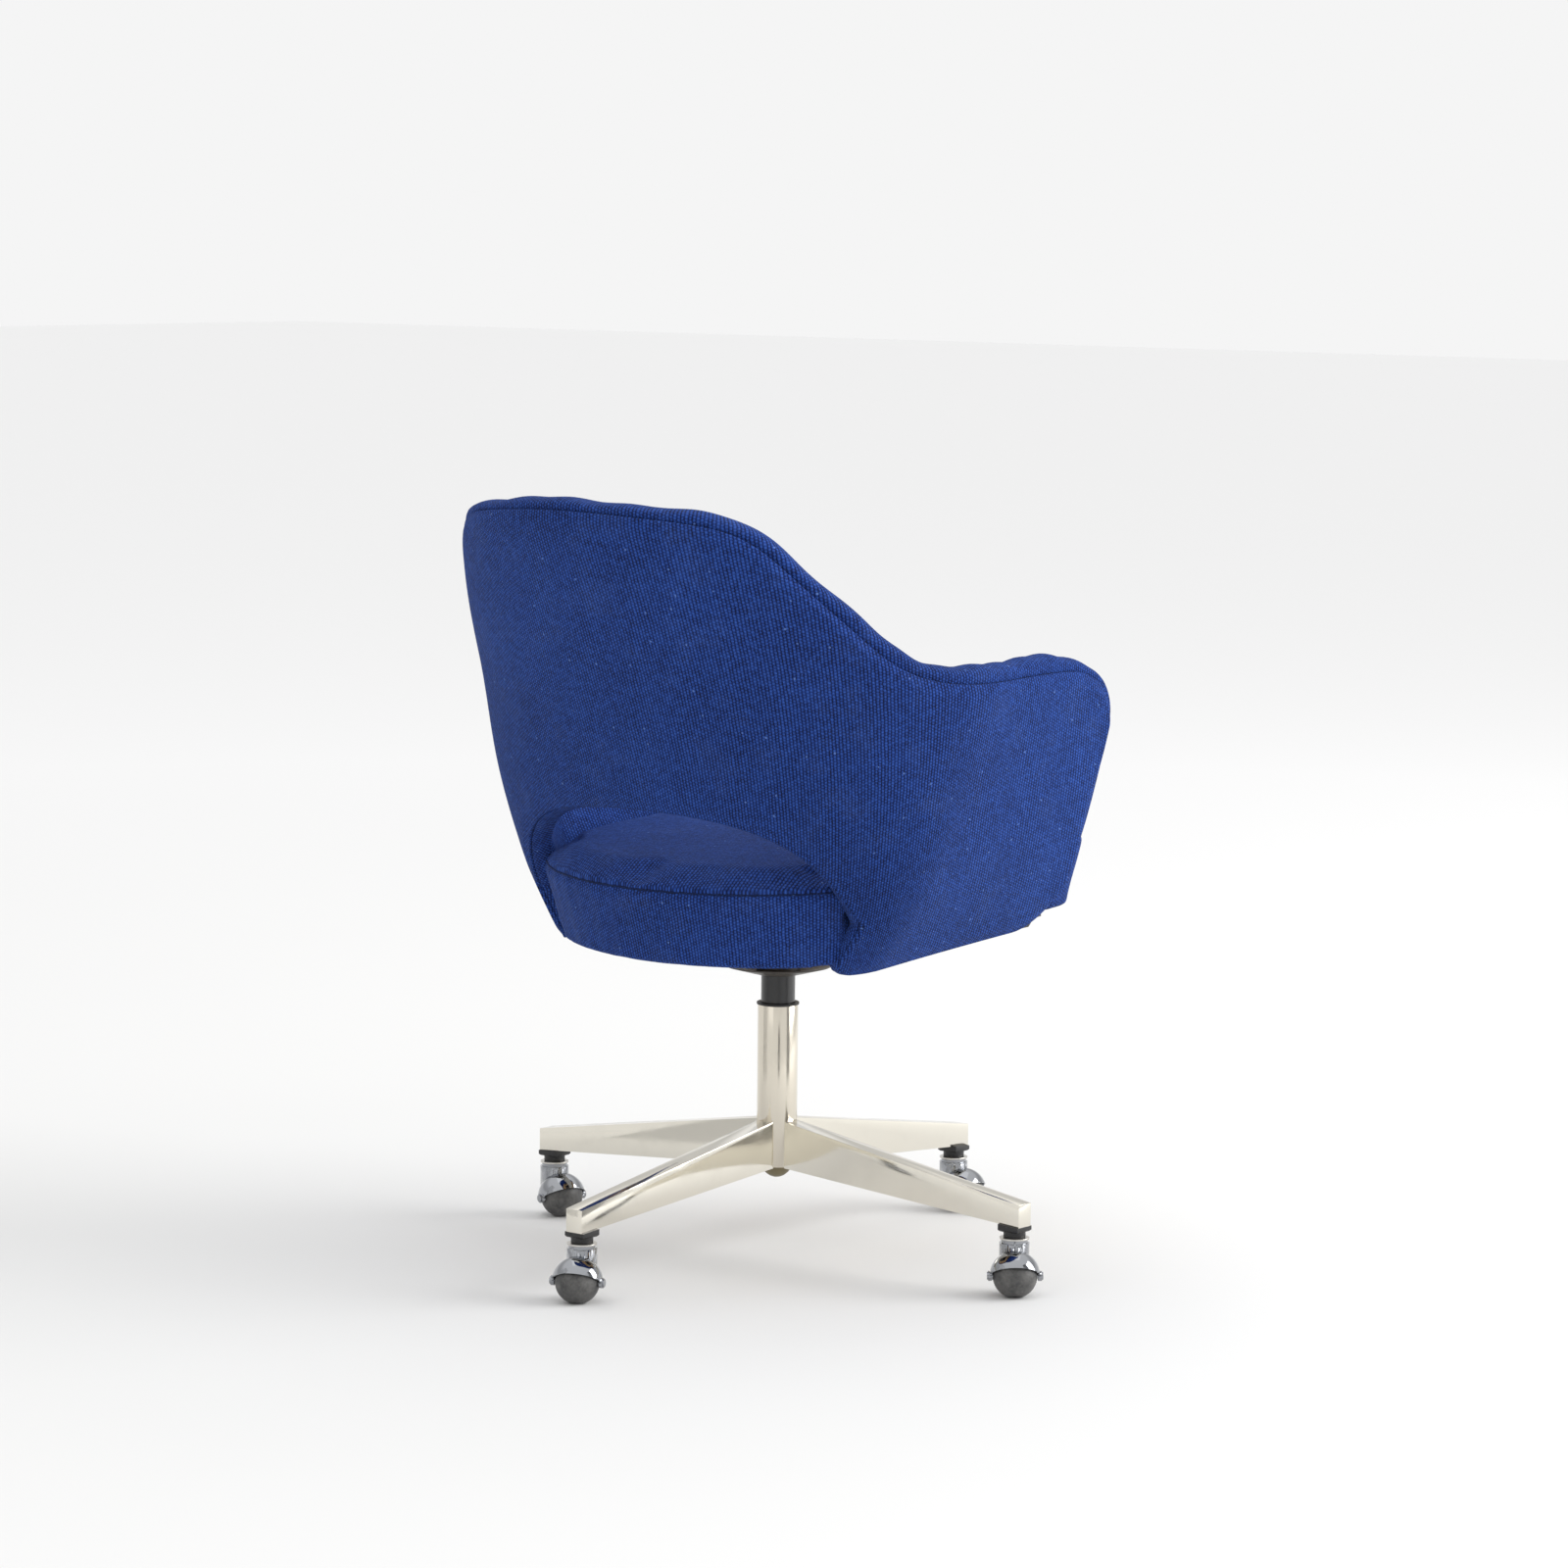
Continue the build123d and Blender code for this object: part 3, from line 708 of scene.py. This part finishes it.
# the seam threads are the cloth painted darker: painted shade of the seam grooves
seamShadeThreadMaterial = wovenCloth("seamThreadPaintedShade", 0.34)
weltShadeThreadMaterial = wovenCloth("weltThreadPaintedShade", 0.62)
steelMaterial = polished("polishedSteel", metal["column"], 0.09, 0.30, (1, 1, 0.06), 0.55)
armSteel = {}
for tag, streak in (("X", (0.06, 1, 1)), ("Y", (1, 0.06, 1))):
    armSteel[tag] = polished("polishedSteelAlong" + tag, metal["arms"], 0.055, 0.26, streak, 0.6)
chromeMaterial = polished("chrome", metal["chrome"], 0.025, 0.16, (1, 1, 1), 0.35)
brightMaterial = polished("brightSteel", metal["plain"], 0.22, 0.4, (1, 1, 1), 0.6)
darkSteel = enamel(
    "darkSteel", (0.055, 0.048, 0.042), 0.42, 260.0, 0.0001, (0.20, 0.13, 0.08), 0.6
)
blackEnamel = enamel(
    "blackEnamel", (0.011, 0.011, 0.012), 0.30, 500.0, 0.00004, (0.10, 0.095, 0.09), 0.4, 0.2
)
blackPlastic = enamel(
    "blackPlastic", (0.014, 0.014, 0.015), 0.46, 700.0, 0.00008, (0.06, 0.06, 0.062), 0.5
)
shellPlastic = enamel("shellPlastic", (0.03, 0.028, 0.026), 0.55, 300.0, 0.0002)
brassMaterial = polished("agedBrass", metal["brass"], 0.30, 0.45, (1, 1, 1), 0.9, 0.0001)
plyMaterial = plySheet("plywood")
rubberMaterial = wheelRubber("wheelRubber")
slotMaterials = {
    "blue_cloth": clothMaterial,
    "polished_steel": steelMaterial,
    "chrome": chromeMaterial,
    "bright_steel": brightMaterial,
    "dark_steel": darkSteel,
    "black_enamel": blackEnamel,
    "black_plastic": blackPlastic,
    "shell_plastic": shellPlastic,
    "plywood": plyMaterial,
    "brass": brassMaterial,
    "wheel_rubber": rubberMaterial,
}
print("materials made:", len(slotMaterials))


def dress(piece, material):
    piece.data.materials.clear()
    piece.data.materials.append(material)


for node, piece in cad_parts.items():
    current = piece.data.materials[0].name if piece.data.materials else ""
    slotName = current.split(".")[0]
    dress(piece, slotMaterials.get(slotName, darkSteel))


# metal and plastic pieces, with their real edges
refine = {
    "edge": 0.0009,
    "fine": 0.0004,
    "steps": 2,
    "crease": math.radians(28),
    "flat": math.radians(0.6),
    "weld": 0.000004,
}


def deselect():
    bpy.ops.object.select_all(action="DESELECT")


def activate(piece):
    deselect()
    piece.select_set(True)
    bpy.context.view_layer.objects.active = piece


def weldedCopy(node, name, flat=None):
    piece = bpy.data.objects.new(name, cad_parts[node].data.copy())
    bpy.context.collection.objects.link(piece)
    activate(piece)
    bpy.ops.object.mode_set(mode="EDIT")
    bpy.ops.mesh.select_all(action="SELECT")
    bpy.ops.mesh.remove_doubles(threshold=refine["weld"])
    if flat is not None:
        bpy.ops.mesh.dissolve_limited(angle_limit=flat)
    bpy.ops.object.mode_set(mode="OBJECT")
    return piece


def refined(node, width, body, material):
    # a copy of the node with clean faces and rounded edges
    piece = weldedCopy(node, node + "Finished", refine["flat"])
    if width:
        bevel = piece.modifiers.new("edges", "BEVEL")
        bevel.width = width
        bevel.segments = refine["steps"]
        bevel.limit_method = "ANGLE"
        bevel.angle_limit = refine["crease"]
        bevel.use_clamp_overlap = True
        bevel.harden_normals = False
        bpy.ops.object.modifier_apply(modifier="edges")
    bpy.ops.object.shade_smooth_by_angle(angle=refine["crease"])
    dress(piece, material)
    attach(piece, body)
    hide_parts(node)
    return piece


for number in range(1, 5):
    along = armSteel["X" if number % 2 else "Y"]
    refined(f"base_arm_{number}", refine["edge"], "base", along)
    refined(f"caster_socket_{number}", refine["fine"], "base", blackPlastic)
    refined(f"caster_hood_{number}", 0, f"caster_{number}", chromeMaterial)
    refined(
        f"caster_ring_{number}", refine["fine"], f"caster_{number}", brightMaterial
    )
    refined(f"caster_wheel_{number}", 0, f"wheel_{number}", rubberMaterial)
refined("column_tube", refine["fine"], "base", steelMaterial)
refined("column_bush", refine["fine"], "base", blackPlastic)
print("metal pieces finished")

# the upholstery rides with the seat
for piece, node in ((backCover, "back_cover"), (innerPad, "inner_pad")):
    dress(piece, clothMaterial)
    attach(piece, "seat")
    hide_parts(node)


def tubeAlong(name, points, radius, closed, material, segments, wobble):
    # a thread or welt laid along a row of points
    points = np.asarray(points)
    ahead = np.roll(points, -1, axis=0) - np.roll(points, 1, axis=0)
    if not closed:
        ahead[0], ahead[-1] = points[1] - points[0], points[-1] - points[-2]
    ahead /= np.linalg.norm(ahead, axis=1, keepdims=True)
    side = np.cross(ahead, [0.31, 0.22, 0.92])
    side /= np.linalg.norm(side, axis=1, keepdims=True)
    other = np.cross(ahead, side)
    count = len(points)
    length = np.r_[0, np.cumsum(np.linalg.norm(np.diff(points, axis=0), axis=1))]
    size = radius * (1 + wobble * np.sin(length * 2 * math.pi / 0.0055))
    rings = []
    for k in range(segments):
        angle = 2 * math.pi * k / segments
        rings.append(points + (side * math.cos(angle) + other * math.sin(angle)) * size[:, None])
    coordinates = np.stack(rings, 1).reshape(-1, 3)
    last = count if closed else count - 1
    faces = []
    for i in range(last):
        j = (i + 1) % count
        for k in range(segments):
            n = (k + 1) % segments
            faces.append((i * segments + k, i * segments + n, j * segments + n, j * segments + k))
    if not closed:
        faces.append(tuple(range(segments))[::-1])
        faces.append(tuple((count - 1) * segments + k for k in range(segments)))
    mesh = bpy.data.meshes.new(name)
    mesh.from_pydata(coordinates.tolist(), [], faces)
    mesh.update()
    piece = bpy.data.objects.new(name, mesh)
    bpy.context.collection.objects.link(piece)
    layer = mesh.uv_layers.new(name="weave")
    corner = np.empty(len(mesh.loops), dtype=np.int64)
    mesh.loops.foreach_get("vertex_index", corner)
    uv = np.stack([(corner % segments) * radius, length[corner // segments]], -1)
    layer.data.foreach_set("uv", uv.ravel().astype(np.float32))
    for polygon in mesh.polygons:
        polygon.use_smooth = True
    orient(piece)
    dress(piece, material)
    return piece


seam = {"radius": 0.0016, "lift": 0.0002, "sides": 8, "twist": 0.18}
loop = borderLoop(columnCount, rowCount)
upper = np.where(loop[:, 1] > 0)[0]
upper = np.r_[upper[0] - 1, upper, (upper[-1] + 1) % len(loop)]
threadPath = padSeam[upper] + padOutward[upper] * seam["lift"]
seamThreadPaintedShade = tubeAlong(
    "shellSeamThread", threadPath, seam["radius"], False, seamShadeThreadMaterial,
    seam["sides"], seam["twist"]
)
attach(seamThreadPaintedShade, "seat")

# seat cushion
seat = {
    "voxel": 0.0050,
    "pressure": 4.0,
    "frames": 20,
    "topCap": 0.010,
    "sideCap": 0.0016,
    "seamHeight": 0.086,
    "seamDepth": 0.0026,
    "seamWidth": 0.0045,
    "threadRadius": 0.0012,
    "sag": 0.0035,
    "pillow": 0.006,
    "pillowReach": (0.24, 0.29),
    "centreY": -0.02,
    "frontSpread": 0.016,
}
tiltSine, tiltCosine = math.sin(shell["seatTilt"]), math.cos(shell["seatTilt"])


def toSeat(points):
    # into the seat's own frame: x, y along it, w above its base plane
    z = points[:, 2] - shell["seatBase"]
    y = points[:, 1]
    across, up = y * tiltCosine - z * tiltSine, y * tiltSine + z * tiltCosine
    return np.stack([points[:, 0], across, up], -1)


def fromSeat(points):
    y, w = points[:, 1], points[:, 2]
    z = shell["seatBase"] - y * tiltSine + w * tiltCosine
    return np.stack([points[:, 0], y * tiltCosine + w * tiltSine, z], -1)


def meshPoints(mesh):
    points = np.empty(len(mesh.vertices) * 3, dtype=np.float32)
    mesh.vertices.foreach_get("co", points)
    return points.reshape(-1, 3).astype(float)


def setPoints(mesh, points):
    mesh.vertices.foreach_set("co", points.astype(np.float32).ravel())
    mesh.update()


def meshNormals(mesh):
    normals = np.empty(len(mesh.vertices) * 3, dtype=np.float32)
    mesh.vertices.foreach_get("normal", normals)
    return normals.reshape(-1, 3).astype(float)


def makeCushion():
    piece = weldedCopy("seat_cushion", "seatCushion")
    remesh = piece.modifiers.new("even", "REMESH")
    remesh.mode = "VOXEL"
    remesh.voxel_size = seat["voxel"]
    bpy.ops.object.modifier_apply(modifier="even")
    smooth = piece.modifiers.new("soft", "SMOOTH")
    smooth.factor = 0.5
    smooth.iterations = 4
    bpy.ops.object.modifier_apply(modifier="soft")
    rest = meshPoints(piece.data)
    restNormals = meshNormals(piece.data)
    fabric = piece.modifiers.new("swell", "CLOTH")
    fabric.settings.quality = 5
    fabric.settings.mass = 0.3
    fabric.settings.tension_stiffness = 25
    fabric.settings.compression_stiffness = 25
    fabric.settings.shear_stiffness = 10
    fabric.settings.bending_stiffness = 0.8
    fabric.settings.use_pressure = True
    fabric.settings.uniform_pressure_force = seat["pressure"]
    fabric.settings.effector_weights.gravity = 0
    for number in range(1, seat["frames"] + 1):
        bpy.context.scene.frame_set(number)
    bpy.ops.object.modifier_apply(modifier="swell")
    bpy.context.scene.frame_set(1)
    moved = meshPoints(piece.data) - rest
    up = restNormals[:, 2]
    # the top may rise, the sides are held by the shell and the underside by the board
    room = np.where(up > 0.5, seat["topCap"], seat["sideCap"])
    room = np.where(up < -0.5, 0.0, room)
    size = np.linalg.norm(moved, axis=1)
    moved *= (np.minimum(size, room) / np.maximum(size, 1e-9))[:, None]
    setPoints(piece.data, rest + moved)
    settle = piece.modifiers.new("settle", "SMOOTH")
    settle.factor = 0.5
    settle.iterations = 6
    bpy.ops.object.modifier_apply(modifier="settle")
    finer = piece.modifiers.new("finer", "SUBSURF")
    finer.levels = finer.render_levels = 1
    bpy.ops.object.modifier_apply(modifier="finer")
    points = meshPoints(piece.data)
    normals = meshNormals(piece.data)
    own = toSeat(points)
    level = 1 - np.abs(normals[:, 2])
    groove = np.exp(-(((own[:, 2] - seat["seamHeight"]) / seat["seamWidth"]) ** 2))
    groove = groove * np.clip(level * 1.6, 0, 1)
    flat = normals.copy()
    flat[:, 2] = 0
    flat /= np.maximum(np.linalg.norm(flat, axis=1, keepdims=True), 1e-6)
    points -= flat * (groove * seat["seamDepth"])[:, None]
    angle = np.arctan2(own[:, 1] - seat["centreY"], own[:, 0])
    ripple = 0.0007 * np.sin(angle * 23 + 0.7) * np.sin(own[:, 2] * 70)
    ripple = ripple + 0.0005 * np.sin(angle * 57 + 2.0)
    points += flat * (ripple * np.clip(level, 0, 1))[:, None]
    pillow = np.cos(np.clip(own[:, 0] / seat["pillowReach"][0], -1, 1) * math.pi / 2)
    fromCentre = own[:, 1] - seat["centreY"]
    pillow = pillow * np.cos(np.clip(fromCentre / seat["pillowReach"][1], -1, 1) * math.pi / 2)
    top = np.clip((normals[:, 2] - 0.5) * 2, 0, 1)
    points[:, 2] += top * pillow * seat["pillow"]
    front = np.clip((-0.13 - own[:, 1]) / 0.08, 0, 1)
    wider = seat["frontSpread"] * (1.7 - 0.7 * np.clip(own[:, 2] / 0.08, 0, 1))
    points[:, 0] += np.sign(own[:, 0]) * front * wider * np.clip(np.abs(own[:, 0]) / 0.16, 0, 1)
    behind = np.clip((own[:, 1] - 0.05) / 0.12, 0, 1)
    points[:, 2] -= seat["sag"] * behind * (1 - np.clip(own[:, 2] / 0.05, 0, 1))
    setPoints(piece.data, points)
    for polygon in piece.data.polygons:
        polygon.use_smooth = True
    return piece


def seatOutline(piece, height, count):
    # the cushion's outline at one height, found by rays from its middle
    form = bmesh.new()
    form.from_mesh(piece.data)
    tree = BVHTree.FromBMesh(form)
    form.free()
    found = []
    middle = fromSeat(np.array([[0, seat["centreY"], height]]))[0]
    for k in range(count):
        angle = 2 * math.pi * k / count
        outside = [math.cos(angle) * 0.6, seat["centreY"] + math.sin(angle) * 0.6, height]
        far = fromSeat(np.array([outside]))[0]
        start = Vector(far)
        hit = tree.ray_cast(start, (Vector(middle) - start).normalized())
        found.append(hit[0][:])
    return np.array(found)


def layCushionWeave(piece):
    mesh = piece.data
    own = toSeat(meshPoints(mesh))
    outline = toSeat(seatOutline(piece, 0.06, 360))
    loopBack = np.concatenate([outline, outline[:1]])
    around = np.r_[0, np.cumsum(np.linalg.norm(np.diff(loopBack, axis=0), axis=1))]
    layer = mesh.uv_layers.new(name="weave")
    corner = np.empty(len(mesh.loops), dtype=np.int64)
    mesh.loops.foreach_get("vertex_index", corner)
    sizes = np.empty(len(mesh.polygons), dtype=np.int64)
    mesh.polygons.foreach_get("loop_total", sizes)
    centres = np.empty(len(mesh.polygons) * 3, dtype=np.float32)
    mesh.polygons.foreach_get("center", centres)
    facing = np.empty(len(mesh.polygons) * 3, dtype=np.float32)
    mesh.polygons.foreach_get("normal", facing)
    centres = toSeat(centres.reshape(-1, 3).astype(float))
    onTop = (centres[:, 2] > seat["seamHeight"]) | (facing.reshape(-1, 3)[:, 2] < -0.6)
    turn = np.arctan2(own[:, 1] - seat["centreY"], own[:, 0]) % (2 * math.pi)
    angle = turn / (2 * math.pi) * 360
    polygonAngle = np.arctan2(centres[:, 1] - seat["centreY"], centres[:, 0]) % (2 * math.pi)
    polygonAngle = polygonAngle / (2 * math.pi) * 360
    owner = np.repeat(np.arange(len(sizes)), sizes)
    cornerAngle = angle[corner]
    cornerAngle = cornerAngle + 360 * np.round((polygonAngle[owner] - cornerAngle) / 360)
    band = np.interp(cornerAngle, np.arange(361), around)
    u = np.where(onTop[owner], own[corner, 0], band + 2.0)
    v = np.where(onTop[owner], own[corner, 1], own[corner, 2] + 1.0)
    layer.data.foreach_set("uv", np.stack([u, v], -1).ravel().astype(np.float32))


cushion = makeCushion()
layCushionWeave(cushion)
dress(cushion, clothMaterial)
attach(cushion, "seat")
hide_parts("seat_cushion")
seatSeam = seatOutline(cushion, seat["seamHeight"], 420)
seatThread = tubeAlong(
    "seatSeamThread", seatSeam, seat["threadRadius"], True, weltShadeThreadMaterial,
    seam["sides"], seam["twist"]
)
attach(seatThread, "seat")
print("cushion made:", len(cushion.data.polygons), "faces")

# camera
camera = {
    "azimuth": math.radians(218.77),
    "elevation": math.radians(6.57),
    "distance": 5.6271,
    "lens": 116.39,
    "aimHeight": 0.52824,
    "aimSide": 0.00440,
    "roll": math.radians(0.54),
}
az, el = camera["azimuth"], camera["elevation"]
back = Vector((math.sin(az) * math.cos(el), -math.cos(az) * math.cos(el), math.sin(el)))
right = Vector((math.cos(az), math.sin(az), 0))
up = back.cross(right)
turnedRight = right * math.cos(camera["roll"]) + up * math.sin(camera["roll"])
turnedUp = up * math.cos(camera["roll"]) - right * math.sin(camera["roll"])
aimPoint = Vector((0, 0, camera["aimHeight"])) + turnedRight * camera["aimSide"]
station = aimPoint + back * camera["distance"]
lens = bpy.data.cameras.new("camera")
lens.lens = camera["lens"]
lens.sensor_width = 36
lens.clip_end = 100
viewer = bpy.data.objects.new("camera", lens)
facing = Matrix((turnedRight, turnedUp, back)).transposed().to_4x4()
viewer.matrix_world = Matrix.Translation(station) @ facing
bpy.context.collection.objects.link(viewer)
scene = bpy.context.scene
scene.camera = viewer
scene.view_settings.view_transform = "Standard"

# floor, light and the cards that only reflections show
studio = {
    "paper": (0.775, 0.775, 0.77),
    # far floor painted lighter than the near floor: painted light
    "farFloorPaintedLight": (0.89, 0.89, 0.89),
    "key": 205.0,
    "fill": 3.0,
    "top": 7.0,
    "skyBands": (
        (0.0, 0.913), (0.20, 0.913), (0.32, 0.62), (0.50, 0.70), (0.66, 1.08), (1.0, 1.16),
    ),
    "cards": (  # name, degrees round from the camera, distance, width, height, grey
        ("flagLeft", -75, 1.5, 0.7, 1.6, 0.62),
        ("flagRight", 62, 1.5, 0.5, 1.6, 0.36),
        ("flagNear", 8, 1.9, 0.35, 0.55, 0.28),
    ),
}
flatBack = Vector((back.x, back.y, 0)).normalized()

deselect()
bpy.ops.mesh.primitive_grid_add(x_subdivisions=8, y_subdivisions=8, size=60, location=(0, 0, 0))
floor = bpy.context.active_object
floor.name = "floor"
paper = Recipe("paper", Roughness=0.85, Specular_IOR_Level=0.1)
tone = paper.noise(paper.place(), 1.3, 2.0, 0.5)
reach = paper.node("ShaderNodeVectorMath", {"operation": "LENGTH"}, (paper.place(),), out=1)
# the floor is painted lighter from 1 m to 5 m out from the chair: painted light towards the
# backdrop
far = ((reach - 1.0) / 4.0).calc("MAXIMUM", 0.0).calc("MINIMUM", 1.0)
nearColour = paper.mix(studio["paper"], [c * 0.985 for c in studio["paper"]], tone)
paintedLightFloorColour = paper.mix(nearColour, studio["farFloorPaintedLight"], far)
dress(floor, paper.finish(Base_Color=paintedLightFloorColour))

world = bpy.data.worlds.new("studio")
scene.world = world
world.use_nodes = True
sky = world.node_tree
ball = sky.nodes.new("ShaderNodeTexCoord")
parts = sky.nodes.new("ShaderNodeSeparateXYZ")
sky.links.new(ball.outputs["Generated"], parts.inputs[0])
bands = sky.nodes.new("ShaderNodeValToRGB")
sky.links.new(parts.outputs[2], bands.inputs[0])
for position, value in studio["skyBands"]:
    element = bands.color_ramp.elements.new(position) if position not in (0.0, 1.0) else None
    element = element or bands.color_ramp.elements[0 if position == 0.0 else -1]
    element.position = position
    element.color = (value, value, value, 1)
sky.links.new(bands.outputs[0], sky.nodes["Background"].inputs[0])
sky.nodes["Background"].inputs[1].default_value = 1.0


def softLight(name, place, size, power):
    lamp = bpy.data.lights.new(name, "AREA")
    lamp.shape = "SQUARE"
    lamp.size = size
    lamp.energy = power
    holder = bpy.data.objects.new(name, lamp)
    holder.location = place
    aim = Vector((0, 0, 0.45)) - place
    holder.rotation_mode = "QUATERNION"
    holder.rotation_quaternion = aim.to_track_quat("-Z", "Y")
    bpy.context.collection.objects.link(holder)


softLight("keyLight", right * 4.6 + flatBack * 0.2 + Vector((0, 0, 2.3)), 3.6, studio["key"])
softLight("topLight", -flatBack * 0.8 + Vector((0, 0, 3.2)), 2.4, studio["top"])
softLight("fillLight", -right * 2.2 + flatBack * 2.6 + Vector((0, 0, 1.6)), 1.8, studio["fill"])


def flag(name, angle, distance, width, height, value):
    # a grey studio card that only shows in reflections
    deselect()
    direction = right * math.sin(angle) + flatBack * math.cos(angle)
    bpy.ops.mesh.primitive_grid_add(x_subdivisions=2, y_subdivisions=2, size=1)
    card = bpy.context.active_object
    card.name = name
    across = Vector((-direction.y, direction.x, 0))
    spread = Matrix((across * width, Vector((0, 0, height)), -direction)).transposed().to_4x4()
    centre = direction * distance + Vector((0, 0, height / 2 - 0.05))
    card.data.transform(Matrix.Translation(centre) @ spread)
    grey = Recipe(name, Roughness=1.0, Specular_IOR_Level=0.0)
    speckle = grey.noise(grey.place(), 3.0, 1.0, 0.5)
    dress(card, grey.finish(Base_Color=grey.mix((value,) * 3, (value * 0.8,) * 3, speckle)))
    card.visible_camera = False
    card.visible_diffuse = False
    card.visible_shadow = False
    card.visible_transmission = False


for name, degrees, distance, width, height, grey in studio["cards"]:
    flag(name, math.radians(degrees), distance, width, height, grey)

print("scene ready")
